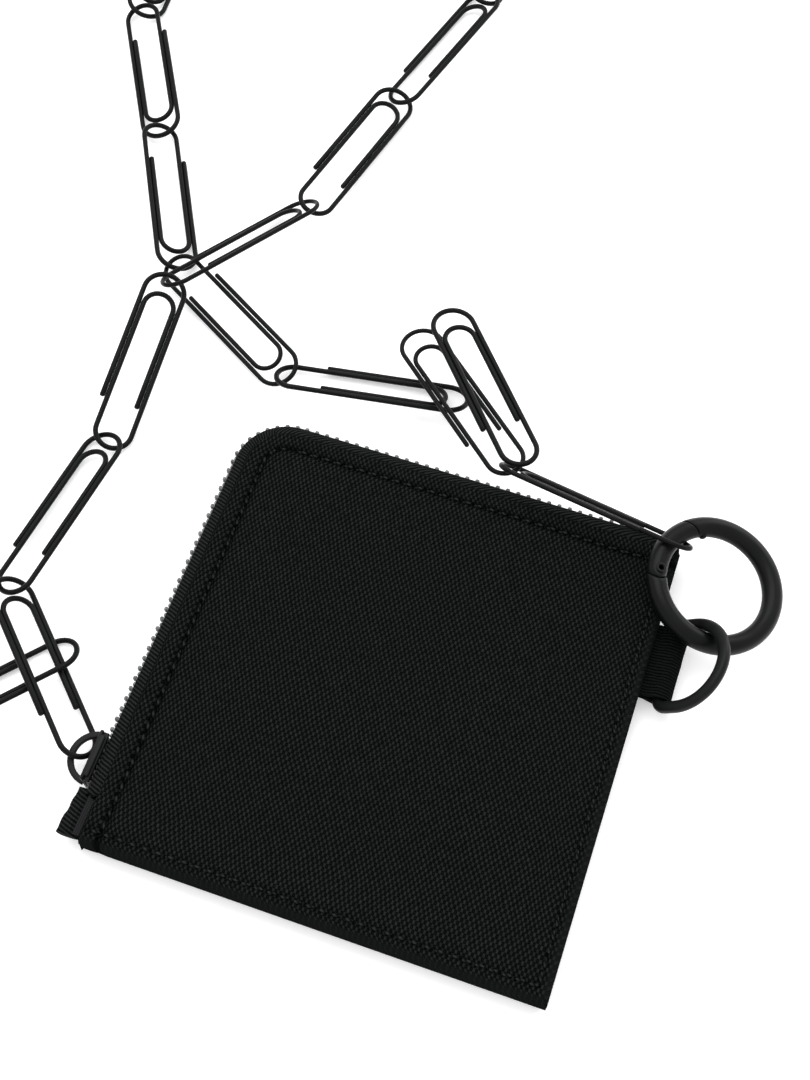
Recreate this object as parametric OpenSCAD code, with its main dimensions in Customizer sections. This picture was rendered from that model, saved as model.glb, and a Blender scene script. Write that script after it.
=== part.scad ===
/* [Pouch] */
// Left edge of the pouch, where the zip teeth run
pouch_left = -54.5; // [-60:0.5:-50]
// Right edge of the pouch, where the webbing tab stands out
pouch_right = 56; // [52:0.5:60]
// Half of the pouch's height, from the centre to the bottom or the top edge
pouch_half = 57; // [54:0.5:60]
// Whole thickness of the pouch lying flat
pouch_t = 9.2; // [9:0.1:10]
// Radius of the rounded corner that the zip follows
corner_r = 14; // [12:0.5:16]
// Thickness of the canvas panels
canvas_t = 1.2; // [1:0.1:1.4]
// Thickness of the lining
lining_t = 0.4; // [0.3:0.1:0.5]

/* [Zip] */
// Distance from one tooth to the next in a row
tooth_pitch = 2.6; // [2.5:0.1:3]
// Length of a tooth along the zip
tooth_len = 1; // [0.8:0.05:1.05]
// Depth of the teeth, from the edge inwards
tooth_depth = 2.4; // [2:0.1:2.4]
// Thickness of the zip tape
tape_t = 0.5; // [0.4:0.05:0.6]
// Width of the slider across the teeth
slider_w = 7.2; // [7:0.1:7.4]
// Length of the slider
slider_len = 12; // [11:0.5:13]
// Where the middle of the slider stands on the left edge
slider_y = -38; // [-39:0.5:-37]

/* [Tab and D-ring] */
// Width of the webbing tab
tab_w = 18; // [17:0.5:18.5]
// Middle of the tab on the right edge
tab_y = 25.2; // [25:0.1:25.4]
// Diameter of the D-ring's wire
d_wire = 2.8; // [2.6:0.1:2.8]
// Angle at which the D-ring stands up
d_tilt = 47; // [45:1:50]

/* [Clasp] */
// Radius of the clasp ring along the middle of its bar
ring_r = 14.5; // [14.4:0.1:14.6]
// Diameter of the clasp ring's bar
bar_d = 4.8; // [4.6:0.1:4.8]
// Tilt of the clasp ring, its far side resting lower than the pouch
ring_tilt = 15; // [14:0.5:16]

/* [Chain] */
// Diameter of the clip wire
wire = 1.2; // [1:0.05:1.2]
// Length of a clip along the middle of its wire
clip_len = 48.8; // [48.6:0.1:49]
// Width of a clip at its wide end, along the middle of its wire
clip_w = 10.4; // [10.2:0.1:10.4]
// Distance between two wires that lie side by side
wire_step = 1.35; // [1.3:0.05:1.4]
// Distance from the narrow end to the two free ends of the wire
free_end = 12; // [10:0.5:14]
// Distance from the wide end to the inner loop
inner_set = 5.6; // [5.4:0.1:6]

/* [Hidden] */
$fn = 48;
mid_z = pouch_t / 2;
panel_in = 4.2;          // the panels stop this far inside the zipped edges
tape_in = 1.2;           // the tapes start this far inside the teeth
lip_t = 0.8;             // the folded lip of a tape, which carries the teeth
tape_w = 9;              // the tape reaches this far under the panel
stitch_in = 8.7;         // the row of stitches along the zip
webbing_t = 1.4;         // one layer of the webbing; the tab is two
tab_clear = 0.1;         // the sewn edge leaves the tab this much room
gap = 0.3;               // between the slider and the teeth
plate_t = 0.8;           // the slider's outer plate
plate_x = pouch_left - gap - plate_t;
crown_r = 5.9;           // the arch on the slider that the chain hooks through
crown_t = 1.1;
teeth_half = 1.1;        // half the height of the closed teeth
tooth_lap = 0.6;         // each tooth reaches past the middle by this
stitch_step = 3;
stitch_len = 2;
left_run = pouch_half - corner_r - (slider_y - 8);
arc_run = PI * corner_r / 2;
top_run = pouch_right - 6 - (pouch_left + corner_r);
tooth_count = floor((left_run + arc_run + top_run) / tooth_pitch);
bar_x = 60.5;            // the D-ring's straight bar
d_half = 10.6;           // half the D-ring's width, along the middle of its wire
d_leg = 5.2;             // its straight legs
d_corner = 2;
ring_at = [65.5, 46, 10];
mouth_a = 131.5;         // where the gate meets the ring
hinge_a = 190.5;         // where the gate turns
mouth_gap = 0.35;        // between the gate's tip and the ring
gate_reach = 2 * ring_r * sin((hinge_a - mouth_a) / 2);
cheek = 1.05;            // half the slot that the gate's knuckle sits in
rivet_r = 0.95;
rivet_hole = 0.55;
rivet_top = 2.45;        // where the rivet's lips start, just clear of the bar
rivet_lip = 0.3;

// Each clip: where its narrow end starts, where its wide end stops, and its roll about that line
LAY = [
    [[-59.3, -37.4, 5], [-91.7, -5.9, 5.4], 36],
    [[-91.7, -5.9, 5.4], [-86.5, 39, 2.6], -18],
    [[-86.5, 39, 2.6], [-88, 84, 9.4], 18],
    [[-88, 84, 9.4], [-64, 122.5, 4.4], -34],
    [[-64, 122.5, 4.4], [-54, 166.5, 2.8], 14],
    [[-54, 166.5, 2.8], [-42, 210, 2.8], -20],
    [[-42, 210, 2.8], [-67, 247, 2.8], 15],
    [[-67, 247, 2.8], [-111, 254.5, 2.8], -20],
    [[-111, 254.5, 2.8], [-138, 218.5, 2.8], 15],
    [[-138, 218.5, 2.8], [-134.5, 173.5, 2.8], -20],
    [[-134.5, 173.5, 2.8], [-112, 134, 3], 15],
    [[-112, 134, 3], [-90.5, 94, 3], -23],
    [[-90.5, 94, 3], [-51.5, 71, 3.4], 13],
    [[-51.5, 71, 3.4], [-7, 78, 3.5], -25],
    [[11, 59, 12.2], [-22.6, 89.2, 8.1], -2],
    [[13.2, 61.2, 14.1], [-16, 95.6, 11.8], 5],
    [[55.9, 51.5, 13.9], [11, 59, 12.2], 54],
    [[-71.9, -15.6, 2.9], [-101.4, -49.6, 3.9], 25]];

// ---- outlines of the pouch, seen from above ----

// The pouch's outline, set in by one amount at the zipped edges and another at the sewn ones
module outline(zip_in, sewn_in) {
    x0 = pouch_left + zip_in;
    x1 = pouch_right - sewn_in;
    y0 = -pouch_half + sewn_in;
    y1 = pouch_half - zip_in;
    r = corner_r - zip_in;
    difference() {
        translate([x0, y0]) square([x1 - x0, y1 - y0]);
        translate([x0, y1 - r]) square([r, r]);
    }
    translate([x0 + r, y1 - r]) circle(r);
}

// A band that follows the left edge, the round corner and the top edge
module zip_band(from_in, to_in, z0, z1) {
    translate([0, 0, z0]) linear_extrude(z1 - z0) difference() {
        outline(from_in, 2);
        translate([0, -0.01]) outline(to_in, -1);
        translate([pouch_left - 1, -pouch_half - 1]) square([40, 10]);
        translate([pouch_right - 4, 0]) square([10, pouch_half + 1]);
    }
}

// Children at a distance along the zip, x outwards and y forwards along it
module along_zip(s) {
    if (s < left_run)
        translate([pouch_left, pouch_half - corner_r - left_run + s, mid_z])
            rotate([0, 0, 180]) mirror([0, 1, 0]) children();
    else if (s < left_run + arc_run) {
        a = 180 - 90 * (s - left_run) / arc_run;
        translate([pouch_left + corner_r, pouch_half - corner_r, mid_z])
            rotate([0, 0, a]) translate([corner_r, 0, 0]) mirror([0, 1, 0]) children();
    } else
        translate([pouch_left + corner_r + s - left_run - arc_run, pouch_half, mid_z])
            rotate([0, 0, 90]) mirror([0, 1, 0]) children();
}

// ---- the pouch ----

// A canvas panel: its face, and the seam allowance folded down along the two sewn edges
module panel() {
    linear_extrude(canvas_t) outline(panel_in, 0);
    difference() {
        translate([0, 0, canvas_t]) linear_extrude(mid_z - canvas_t - 0.05) difference() {
            outline(panel_in, 0);
            translate([pouch_left, -pouch_half + canvas_t])
                square([pouch_right - canvas_t - pouch_left, 2 * pouch_half]);
        }
        tab_room();
    }
}

module tab_room() {
    translate([pouch_right - 4, tab_y - tab_w / 2 - tab_clear, mid_z - 1.6])
        cube([8, tab_w + 2 * tab_clear, 3.2]);
}

module back_panel() color("#17181a") panel();

module front_panel() color("#1d1e20") translate([0, 0, pouch_t]) mirror([0, 0, 1]) panel();

module lining() {
    translate([0, 0, canvas_t + tape_t + 0.1]) linear_extrude(lining_t)
        outline(2.4, canvas_t + 0.2);
}

module back_lining() color("#26272a") lining();

module front_lining() color("#26272a") translate([0, 0, pouch_t]) mirror([0, 0, 1]) lining();

// ---- the zip ----

module tape() {
    zip_band(tape_in, tape_w, canvas_t, canvas_t + tape_t);
    zip_band(tape_in, tape_in + lip_t, canvas_t, mid_z - teeth_half);
}

module zip_tape_back() color("#2a2b2d") tape();

module zip_tape_front() color("#2a2b2d") translate([0, 0, pouch_t]) mirror([0, 0, 1]) tape();

module teeth(start) {
    for (i = [0 : tooth_count - 1])
        along_zip(start + i * tooth_pitch)
            translate([-tooth_depth, -tooth_len / 2, -teeth_half])
                cube([tooth_depth, tooth_len, teeth_half + tooth_lap]);
}

module zip_teeth_back() color("#4a4b4d") teeth(1.2);

module zip_teeth_front() color("#4a4b4d")
    translate([0, 0, pouch_t]) mirror([0, 0, 1]) teeth(1.2 + tooth_pitch / 2);

module zip_stop_bottom() color("#3a3b3d")
    translate([pouch_left, -pouch_half + 8.2, mid_z - teeth_half])
        cube([tooth_depth, 1.8, 2 * teeth_half]);

module zip_stop_top() color("#3a3b3d")
    translate([pouch_right - 5.4, pouch_half - tooth_depth, mid_z - teeth_half])
        cube([2.4, tooth_depth, 2 * teeth_half]);

module zip_tail() color("#232426")
    translate([pouch_left - 1.5, -pouch_half + 1, mid_z - 1.2]) cube([5, 7, 2.4]);

// ---- the stitching ----

module stitch() translate([-stitch_len / 2, -0.25, 0]) cube([stitch_len, 0.5, 0.3]);

module stitching_zip() color("#0c0c0d") translate([0, 0, pouch_t]) {
    for (y = [-52 : stitch_step : 40])
        translate([pouch_left + stitch_in, y, 0]) rotate([0, 0, 90]) stitch();
    for (x = [-38 : stitch_step : 52])
        translate([x, pouch_half - stitch_in, 0]) stitch();
}

module stitching_seams() color("#0c0c0d") translate([0, 0, pouch_t]) {
    for (y = [-52 : stitch_step : 46])
        translate([pouch_right - 3, y, 0]) rotate([0, 0, 90]) stitch();
    for (x = [-46 : stitch_step : 50])
        translate([x, -pouch_half + 3, 0]) stitch();
}

// ---- the slider, which runs on the teeth of the left edge ----

module slider_body() color("#1a1a1b") {
    translate([plate_x, slider_y - slider_len / 2, mid_z - slider_w / 2])
        cube([plate_t, slider_len, slider_w]);
    for (side = [-1, 1])
        translate([plate_x + plate_t, slider_y - slider_len / 2, mid_z + side * 2.1 - 0.5])
            cube([1.2, slider_len, 1]);
}

module slider_inner_plate() color("#1a1a1b")
    translate([pouch_left + tooth_depth + gap, slider_y - slider_len / 2, mid_z - 2])
        cube([1, slider_len, 4]);

module slider_crown() color("#1a1a1b")
    translate([pouch_left - gap, slider_y, mid_z - crown_t / 2]) difference() {
        cylinder(r = crown_r, h = crown_t);
        translate([0, 0, -1]) cylinder(r = crown_r - 1, h = crown_t + 2);
        translate([-plate_t, -crown_r - 1, -1])
            cube([2 * crown_r, 2 * crown_r + 2, crown_t + 2]);
    }

// ---- the tab and the D-ring ----

module webbing_tab() color("#1c1d1f")
    translate([0, tab_y + tab_w / 2, mid_z]) rotate([90, 0, 0])
        linear_extrude(tab_w) difference() {
            union() {
                translate([bar_x, 0]) circle(3);
                translate([44, -webbing_t]) square([bar_x - 44, 2 * webbing_t]);
            }
            translate([bar_x, 0]) circle(d_wire / 2 + 0.25);
        }

module quarter(r, d) rotate_extrude(angle = 90) translate([r, 0]) circle(d = d);

module half_turn(r, d) rotate_extrude(angle = 180) translate([r, 0]) circle(d = d);

module rod(from, to, d) {
    v = to - from;
    translate(from) rotate([0, 0, atan2(v[1], v[0])]) rotate([0, 90, 0]) cylinder(h = norm(v), d = d);
}

// The D-ring lies in its own plane, its straight bar on the y axis
module d_shape() {
    rod([0, -d_half + d_corner, 0], [0, d_half - d_corner, 0], d_wire);
    for (side = [0, 1]) mirror([0, side, 0]) {
        translate([d_corner, d_half - d_corner, 0]) rotate([0, 0, 90]) quarter(d_corner, d_wire);
        rod([d_corner, d_half, 0], [d_leg, d_half, 0], d_wire);
    }
    translate([d_leg, 0, 0]) rotate([0, 0, -90]) half_turn(d_half, d_wire);
}

module d_ring() color("#141415")
    translate([bar_x, tab_y, mid_z]) rotate([0, -d_tilt, 0]) d_shape();

// ---- the clasp ----

module in_ring() translate(ring_at) rotate([0, ring_tilt, 0]) children();

module at_hinge() rotate([0, 0, hinge_a]) translate([ring_r, 0, 0]) children();

module bar_arc(from_a, to_a) rotate([0, 0, from_a])
    rotate_extrude(angle = to_a - from_a) translate([ring_r, 0]) circle(d = bar_d);

// Everything within one distance of the gate's hinge
module around_hinge(r) at_hinge() cylinder(r = r, h = 2 * bar_d, center = true);

// The mouth is cut to a curve centred on the hinge, so the gate's tip swings in past the ring
module clasp_ring() color("#111112") in_ring() difference() {
    union() {
        bar_arc(hinge_a, mouth_a + 366);
        at_hinge() cylinder(r = 2.2, h = 2 * 2.3, center = true);
    }
    intersection() {
        around_hinge(gate_reach + mouth_gap);
        rotate([0, 0, mouth_a]) translate([ring_r, 0, 0]) cube([2 * bar_d, 14, 2 * bar_d], center = true);
    }
    at_hinge() cylinder(r = 3.4, h = 2 * cheek, center = true);
    at_hinge() cylinder(r = rivet_r, h = 10, center = true);
}

module clasp_gate() color("#111112") in_ring() difference() {
    union() {
        intersection() {
            bar_arc(mouth_a - 7, hinge_a - 10.5);
            around_hinge(gate_reach);
        }
        at_hinge() translate([0, 0, -0.95]) cylinder(r = 2, h = 1.1);
        rotate([0, 0, hinge_a - 11.5]) translate([ring_r - 1.4, 0, -0.95]) cube([2.8, 2.6, 1.1]);
    }
    at_hinge() cylinder(r = rivet_r + 0.1, h = 10, center = true);
}

module gate_rivet() color("#2b2b2d") in_ring() at_hinge() difference() {
    union() {
        cylinder(r = rivet_r, h = 2 * (rivet_top + rivet_lip), center = true);
        for (side = [0, 1])
            mirror([0, 0, side]) translate([0, 0, rivet_top]) cylinder(r = 1.35, h = rivet_lip);
    }
    cylinder(r = rivet_hole, h = 8, center = true);
}

module gate_spring() color("#77787a") in_ring() at_hinge() translate([0, 0, 0.6])
    rotate_extrude(angle = 300) translate([1.45, 0]) circle(d = 0.5);

// ---- the chain of wire clips ----

// One clip, its narrow end at x = 0: an inner leg, an inner loop, the long side,
// the narrow loop, the outer side, the wide loop and the outer leg
module clip() {
    wide_r = clip_w / 2;
    narrow_r = wide_r - wire_step / 2;
    inner_r = wide_r - wire_step;
    wide_x = clip_len - wide_r;
    inner_x = clip_len - inner_set - inner_r;
    rod([free_end, -inner_r, 0], [inner_x, -inner_r, 0], wire);
    translate([inner_x, 0, 0]) rotate([0, 0, -90]) half_turn(inner_r, wire);
    rod([narrow_r, inner_r, 0], [inner_x, inner_r, 0], wire);
    translate([narrow_r, -wire_step / 2, 0]) rotate([0, 0, 90]) half_turn(narrow_r, wire);
    rod([narrow_r, -wide_r, 0], [wide_x, -wide_r, 0], wire);
    translate([wide_x, 0, 0]) rotate([0, 0, -90]) half_turn(wide_r, wire);
    rod([free_end, wide_r, 0], [wide_x, wide_r, 0], wire);
}

// The clip that lies along one entry of LAY, centred on it
module chain_link(i) {
    from = LAY[i][0];
    v = LAY[i][1] - from;
    color("#0e0e0f") translate(from + v / 2)
        rotate([0, -asin(v[2] / norm(v)), atan2(v[1], v[0])])
            rotate([LAY[i][2], 0, 0]) translate([-clip_len / 2, 0, 0]) clip();
}

front_panel();
back_panel();
front_lining();
back_lining();
zip_tape_front();
zip_tape_back();
zip_teeth_front();
zip_teeth_back();
zip_stop_bottom();
zip_stop_top();
zip_tail();
stitching_zip();
stitching_seams();
slider_body();
slider_inner_plate();
slider_crown();
webbing_tab();
d_ring();
clasp_ring();
clasp_gate();
gate_rivet();
gate_spring();
chain_link(0);  // link_01
chain_link(1);  // link_02
chain_link(2);  // link_03
chain_link(3);  // link_04
chain_link(4);  // link_05
chain_link(5);  // link_06
chain_link(6);  // link_07
chain_link(7);  // link_08
chain_link(8);  // link_09
chain_link(9);  // link_10
chain_link(10);  // link_11
chain_link(11);  // link_12
chain_link(12);  // link_13
chain_link(13);  // link_14
chain_link(14);  // link_15
chain_link(15);  // link_16
chain_link(16);  // link_17
chain_link(17);  // link_18
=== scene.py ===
import math

import bmesh
import bpy
from mathutils import Matrix, Vector, noise


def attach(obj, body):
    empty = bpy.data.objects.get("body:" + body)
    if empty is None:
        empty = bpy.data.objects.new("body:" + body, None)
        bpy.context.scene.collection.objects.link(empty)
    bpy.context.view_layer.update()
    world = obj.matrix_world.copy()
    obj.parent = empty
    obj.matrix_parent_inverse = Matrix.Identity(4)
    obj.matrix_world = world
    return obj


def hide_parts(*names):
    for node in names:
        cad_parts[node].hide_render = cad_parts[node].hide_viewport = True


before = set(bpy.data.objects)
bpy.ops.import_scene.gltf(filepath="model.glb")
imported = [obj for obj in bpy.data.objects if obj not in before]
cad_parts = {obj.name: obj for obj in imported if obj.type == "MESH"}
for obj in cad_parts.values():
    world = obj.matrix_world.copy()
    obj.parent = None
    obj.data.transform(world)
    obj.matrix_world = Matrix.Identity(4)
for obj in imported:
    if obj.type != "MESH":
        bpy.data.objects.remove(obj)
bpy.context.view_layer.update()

# ---- the camera ----
# It looks down on the table from in front of the pouch, a little to the left.
LOOKS_DOWN = math.radians(64.11)
TURNED = math.radians(19.01)
camera_data = bpy.data.cameras.new("camera")
camera_data.lens = 51.1
camera_data.clip_start = 0.01
camera = bpy.data.objects.new("camera", camera_data)
camera.location = (0.0450, -0.1154, 0.3348)
camera.rotation_euler = (math.pi / 2 - LOOKS_DOWN, 0, TURNED)
bpy.context.scene.collection.objects.link(camera)
bpy.context.scene.camera = camera

# ---- the canvas panels ----
# Two squares of black cotton canvas in a coarse plain weave. Their zipped edges are folded under and
# stitched down beside the teeth; the other two edges are sewn together and turned right side out.
LEFT, RIGHT, HALF, THICK = -54.5, 56.0, 57.0, 9.2
CORNER = 14.0
FOLD_IN = 4.2
FOLD_R = 0.8
STITCHED_IN = 8.7
SEAM_IN = 3.0
TAB_Y, TAB_HALF = 25.2, 9.0
MIDDLE = THICK / 2


def linear(colour, alpha=1.0):
    parts = [int(colour[i : i + 2], 16) / 255 for i in (1, 3, 5)]
    return [c / 12.92 if c <= 0.04045 else ((c + 0.055) / 1.055) ** 2.4 for c in parts] + [alpha]


def add(tree, kind, inputs=None, **settings):
    made = tree.nodes.new("ShaderNode" + kind)
    for name, value in settings.items():
        setattr(made, name, value)
    for name, value in (inputs or {}).items():
        if isinstance(value, bpy.types.NodeSocket):
            tree.links.new(value, made.inputs[name])
        else:
            made.inputs[name].default_value = value
    return made


def start_material(name, roughness, **constants):
    material = bpy.data.materials.new(name)
    material.use_nodes = True
    shader = material.node_tree.nodes["Principled BSDF"]
    shader.inputs["Roughness"].default_value = roughness
    for socket, value in constants.items():
        shader.inputs[socket.replace("_", " ")].default_value = value
    return material, material.node_tree, shader


def blunt(value, power):
    """A sine or cosine bent so that the circle it draws turns squarer or more pointed."""
    return math.copysign(abs(value) ** power, value)


def step(low, high, value):
    t = min(max((value - low) / (high - low), 0.0), 1.0)
    return t * t * (3 - 2 * t)


def dent(width, value):
    return math.exp(-((value / width) ** 2))


def along_the_zip(x, y):
    """How far along the zip a point lies, and how far inside the teeth."""
    cx, cy = LEFT + CORNER, HALF - CORNER
    if x < cx and y > cy:
        angle = math.atan2(y - cy, cx - x)
        return 100 + angle * CORNER, CORNER - math.hypot(x - cx, y - cy)
    if x - LEFT < HALF - y:
        return 100 + y - cy, x - LEFT
    return 100 + math.pi / 2 * CORNER + x - cx, HALF - y


def new_piece(name, shape, material, body, slot, *nodes, smooth=True):
    """Turns a shape drawn in millimetres into a piece that rides on a body."""
    bmesh.ops.scale(shape, vec=(0.001, 0.001, 0.001), verts=shape.verts)
    mesh = bpy.data.meshes.new(name)
    shape.to_mesh(mesh)
    shape.free()
    for face in mesh.polygons:
        face.use_smooth = smooth
    mesh.materials.append(material)
    piece = bpy.data.objects.new(name, mesh)
    bpy.context.scene.collection.objects.link(piece)
    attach(piece, body)
    if nodes:
        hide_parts(*nodes)
    return piece


def canvas_height(x, y, crown):
    """Height of the canvas over the table, on the side that faces up."""
    run, inside = along_the_zip(x, y)
    fold = inside - FOLD_IN
    sewn = min(RIGHT - x, y + HALF)
    height = THICK
    if fold < FOLD_R:
        height -= FOLD_R - math.sqrt(max(FOLD_R**2 - (FOLD_R - max(fold, 0)) ** 2, 0))
    pull = 0.75 + 0.25 * math.cos(2 * math.pi * run / 3)
    height -= 0.75 * pull * dent(0.8, inside - STITCHED_IN)
    if sewn < 2.0:
        height -= 1.1 * (2.0 - math.sqrt(max(4 - (2 - sewn) ** 2, 0)))
    seam_pull = 0.7 + 0.3 * math.cos(2 * math.pi * (x + y) / 3)
    height -= 0.35 * seam_pull * dent(0.7, sewn - SEAM_IN)
    height -= 0.55 * step(6, 12, sewn) * (1 - step(14, 40, sewn))
    if crown:
        across = step(0, 34, inside) * step(4, 38, sewn)
        height += 0.7 * across
        slow = noise.noise(Vector((x, y, 7)) * 0.05)
        quick = noise.noise(Vector((x, y, 31)) * 0.14)
        height += (0.42 * slow + 0.13 * quick) * step(2, 14, min(inside, sewn + 4))
    return height


def canvas_panel(name, upward, material, node):
    left, top = LEFT + FOLD_IN, HALF - FOLD_IN
    radius = CORNER - FOLD_IN
    shape = bmesh.new()
    bmesh.ops.create_grid(shape, x_segments=150, y_segments=154, size=0.5)
    near_seam = shape.verts.layers.float.new("near_seam")
    painted_groove_shade = shape.verts.layers.float.new("painted_groove_shade")
    for v in shape.verts:
        x = left + (v.co.x + 0.5) * (RIGHT - left)
        y = -HALF + (v.co.y + 0.5) * (top + HALF)
        a = (left + radius - x) / radius
        b = (y - top + radius) / radius
        if a > 0 and b > 0:
            x = left + radius - radius * a * math.sqrt(1 - b * b / 2)
            y = top - radius + radius * b * math.sqrt(1 - a * a / 2)
        v[near_seam] = 1 - step(1.2, 2.0, min(RIGHT - x, (y + HALF) * 1.6))
        # Where shade is painted along the zip's stitch line and, more faintly, along the seam's.
        groove = dent(0.75, along_the_zip(x, y)[1] - STITCHED_IN)
        v[painted_groove_shade] = max(groove, 0.6 * dent(0.6, min(RIGHT - x, y + HALF) - SEAM_IN))
        v.co = (x, y, canvas_height(x, y, upward))
    rim = [e for e in shape.edges if e.is_boundary]
    for depth in (0.5, 1.0):
        made = bmesh.ops.extrude_edge_only(shape, edges=rim)["geom"]
        rim = [g for g in made if isinstance(g, bmesh.types.BMEdge)]
        for v in (g for g in made if isinstance(g, bmesh.types.BMVert)):
            x, y = v.co.x, v.co.y
            if min(RIGHT - x, y + HALF) < 0.6:
                low = MIDDLE + 0.06
                if x > RIGHT - 0.6:
                    low += 1.5 * (1 - step(TAB_HALF, TAB_HALF + 1.6, abs(y - TAB_Y)))
                v.co.z += (low - v.co.z) * depth
            else:
                v.co.z += (THICK - 1.1 - v.co.z) * depth
    if not upward:
        for v in shape.verts:
            v.co.z = max(THICK - v.co.z, 0.0)
    bmesh.ops.recalc_face_normals(shape, faces=shape.faces)
    middle_face = min(shape.faces, key=lambda f: f.calc_center_median().xy.length)
    if (middle_face.normal.z > 0) != upward:
        bmesh.ops.reverse_faces(shape, faces=shape.faces)
    piece = new_piece(name, shape, material, "pouch", "canvas", node)
    wall = piece.modifiers.new("thickness", "SOLIDIFY")
    wall.thickness = 0.0011
    wall.offset = -1
    return piece


# Cotton canvas, plain weave, dyed black. Each raised thread is painted as a small soft light dot, a painted
# sheen, and the gaps between threads are painted almost black, a painted shade. Threads are 0.58 mm apart one way
# and 0.93 mm the other.
canvas, tree, shader = start_material("black cotton canvas", 0.88, Specular_IOR_Level=0.0)
place = add(tree, "TexCoord").outputs["Object"]
wander = add(tree, "TexNoise", {"Vector": place, "Scale": 210.0, "Detail": 2.0})
axes = add(tree, "SeparateXYZ", {"Vector": place})
wall_x = add(
    tree, "Math", {0: axes.outputs["Z"], 1: 0.7, 2: axes.outputs["X"]},
    operation="MULTIPLY_ADD",
)
wall_y = add(
    tree, "Math", {0: axes.outputs["Z"], 1: 0.7, 2: axes.outputs["Y"]},
    operation="MULTIPLY_ADD",
)
skew = add(
    tree, "Math", {0: axes.outputs["X"], 1: 0.105, 2: wall_y.outputs[0]},
    operation="MULTIPLY_ADD",
)
waves = []
for direction, spacing_mm in ((wall_x, 0.575), (skew, 0.925)):
    phase = add(
        tree, "Math", {0: direction.outputs[0], 1: math.pi * 1000 / spacing_mm}, operation="MULTIPLY"
    )
    shifted = add(
        tree, "Math", {0: wander.outputs["Fac"], 1: 2.2, 2: phase.outputs[0]}, operation="MULTIPLY_ADD"
    )
    waves.append(add(tree, "Math", {0: shifted.outputs[0]}, operation="COSINE"))
crossing = add(
    tree, "Math", {0: waves[0].outputs[0], 1: waves[1].outputs[0]},
    operation="MULTIPLY",
)
over = add(
    tree, "MapRange", {"Value": crossing.outputs[0], "From Min": -0.5, "From Max": 0.55},
    interpolation_type="SMOOTHSTEP",
)
under = add(
    tree, "MapRange",
    {"Value": crossing.outputs[0], "From Min": -0.1, "From Max": -1.0, "To Max": 0.3},
    interpolation_type="SMOOTHSTEP",
)
threads = add(tree, "Math", {0: over.outputs[0], 1: under.outputs[0]}, operation="MAXIMUM")
uneven = add(tree, "TexNoise", {"Vector": place, "Scale": 900.0, "Detail": 3.0, "Roughness": 0.7})
strength = add(
    tree, "MapRange", {"Value": uneven.outputs["Fac"], "From Min": 0.3, "From Max": 0.7, "To Min": 0.45}
)
lit = add(tree, "Math", {0: threads.outputs[0], 1: strength.outputs[0]}, operation="MULTIPLY")
edge = add(tree, "Attribute", attribute_name="near_seam")
edge_keep = add(tree, "Math", {0: edge.outputs["Fac"], 1: -0.7, 2: 1.0}, operation="MULTIPLY_ADD")
edge_lift = add(tree, "Math", {0: edge.outputs["Fac"], 1: 0.3}, operation="MULTIPLY")
lit = add(
    tree, "Math", {0: lit.outputs[0], 1: edge_keep.outputs[0], 2: edge_lift.outputs[0]},
    operation="MULTIPLY_ADD",
)
# Painted shade along the stitch grooves: the canvas is darkened where the zip's stitching and the seam stitching
# pull it in.
groove = add(tree, "Attribute", attribute_name="painted_groove_shade")
shaded = add(tree, "Math", {0: groove.outputs["Fac"], 1: -0.85, 2: 1.0}, operation="MULTIPLY_ADD")
lit = add(tree, "Math", {0: lit.outputs[0], 1: shaded.outputs[0]}, operation="MULTIPLY")
# The weave's painted sheen and painted shade become the base colour.
shade = add(
    tree, "Mix", {0: lit.outputs[0], 6: linear("#010101"), 7: linear("#252827")},
    data_type="RGBA",
)
tree.links.new(shade.outputs[2], shader.inputs["Base Color"])
relief = add(
    tree, "Bump", {"Height": threads.outputs[0], "Distance": 0.0003, "Strength": 0.8}
)
tree.links.new(relief.outputs[0], shader.inputs["Normal"])

canvas_panel("canvas_front", True, canvas, "front_panel")
canvas_panel("canvas_back", False, canvas, "back_panel")

# ---- the lining ----
# Thin black cotton cloth inside the canvas, which covers the zip's tapes. It is hidden while the
# pouch is shut, so it keeps its plain cut shape.
lining_cloth, tree, shader = start_material("black lining cloth", 0.8, Specular_IOR_Level=0.2)
place = add(tree, "TexCoord").outputs["Object"]
warp = add(
    tree, "TexWave", {"Vector": place, "Scale": 640.0, "Distortion": 0.6},
    bands_direction="X",
)
weft = add(
    tree, "TexWave", {"Vector": place, "Scale": 640.0, "Distortion": 0.6},
    bands_direction="Y",
)
both = add(tree, "Math", {0: warp.outputs["Fac"], 1: weft.outputs["Fac"]}, operation="MULTIPLY")
shade = add(
    tree, "Mix", {0: both.outputs[0], 6: linear("#0b0b0c"), 7: linear("#26272a")},
    data_type="RGBA",
)
tree.links.new(shade.outputs[2], shader.inputs["Base Color"])
relief = add(tree, "Bump", {"Height": both.outputs[0], "Distance": 0.0001, "Strength": 0.4})
tree.links.new(relief.outputs[0], shader.inputs["Normal"])


def finish_nodes(material, *nodes):
    for node in nodes:
        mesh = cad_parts[node].data
        mesh.materials.clear()
        mesh.materials.append(material)


finish_nodes(lining_cloth, "front_lining", "back_lining")

# ---- the zip's tapes ----
# Woven black tape, one each side, sewn under the folded canvas and rolled over at its edge, where it
# carries the teeth. It is ribbed across on the left run and shows a slanting twill along the top.
TAPE_PROFILE = [
    (2.6, 5.78), (1.9, 5.85), (1.5, 6.15), (1.38, 6.6), (1.45, 7.1), (1.75, 7.6), (2.3, 8.0),
    (3.0, 8.3), (3.7, 8.42), (4.4, 8.35), (5.2, 8.0), (6.5, 7.75), (9.0, 7.7),
]
RUN_STEP = 1.3


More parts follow.
